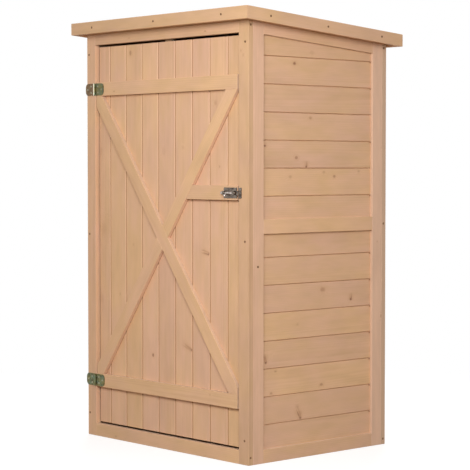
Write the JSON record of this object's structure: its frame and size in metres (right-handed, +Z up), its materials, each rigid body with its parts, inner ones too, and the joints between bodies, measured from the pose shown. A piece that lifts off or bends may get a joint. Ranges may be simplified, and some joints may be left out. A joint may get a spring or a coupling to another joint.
{
  "type": "tool shed",
  "caption": "Upright softwood tool shed with a pent roof, framed boarded walls and a ledged and braced door that swings on butterfly hinges and shuts with a small barrel bolt.",
  "frame": {"origin": "middle of the base on the ground, under the middle of the roof", "axes": "+X to the right seen from the front, +Y from the front to the back, +Z up; the door is on the -Y side"},
  "size_m": [0.73, 0.565, 1.15],
  "materials": {
    "fir_frame": "planed pale softwood, clear satin stain",
    "fir_boards": "planed tongue and groove softwood with knots",
    "fir_door": "planed tongue and groove softwood with knots",
    "roof_felt": "mineral-surfaced roofing felt",
    "zinc": "yellow-passivated zinc plate",
    "steel": "galvanised pressed steel"
  },
  "bodies": {
    "shed": {"left_door_post": "fir_frame", "right_door_post": "fir_frame", "header": "fir_frame", "sill": "fir_frame", "door_stop": "fir_frame", "left_front_stile": "fir_frame", "left_back_stile": "fir_frame", "left_top_rail": "fir_frame", "left_middle_rail": "fir_frame", "left_bottom_rail": "fir_frame", "left_upper_boards": "fir_boards", "left_lower_boards": "fir_boards", "right_front_stile": "fir_frame", "right_back_stile": "fir_frame", "right_top_rail": "fir_frame", "right_middle_rail": "fir_frame", "right_bottom_rail": "fir_frame", "right_upper_boards": "fir_boards", "right_lower_boards": "fir_boards", "back_left_stile": "fir_frame", "back_right_stile": "fir_frame", "back_top_rail": "fir_frame", "back_bottom_rail": "fir_frame", "back_boards": "fir_boards", "floor_boards": "fir_boards", "roof_boards": "fir_boards", "roof_felt": "roof_felt", "front_fascia": "fir_frame", "back_fascia": "fir_frame", "left_fascia": "fir_frame", "right_fascia": "fir_frame", "top_hinge_frame_leaf": "zinc", "bottom_hinge_frame_leaf": "zinc", "bolt_keeper": "steel"},
    "door": {"door_boards": "fir_door", "door_top_ledge": "fir_frame", "door_bottom_ledge": "fir_frame", "door_long_brace": "fir_frame", "door_upper_brace": "fir_frame", "door_lower_brace": "fir_frame", "door_lock_rail": "fir_frame", "top_hinge_door_leaf": "zinc", "bottom_hinge_door_leaf": "zinc", "bolt_plate": "steel"},
    "bolt": {"bolt": "steel"}
  },
  "joints": [
    {"name": "door_hinge", "type": "hinge", "parent": "shed", "child": "door", "pos_m": [-0.2993, -0.2531, 0.56], "axis": [0, 0, -1], "range_deg": [0, 110]},
    {"name": "bolt_slide", "type": "slide", "parent": "door", "child": "bolt", "axis": [-1, 0, 0], "range_m": [-0.014, 0]}
  ]
}
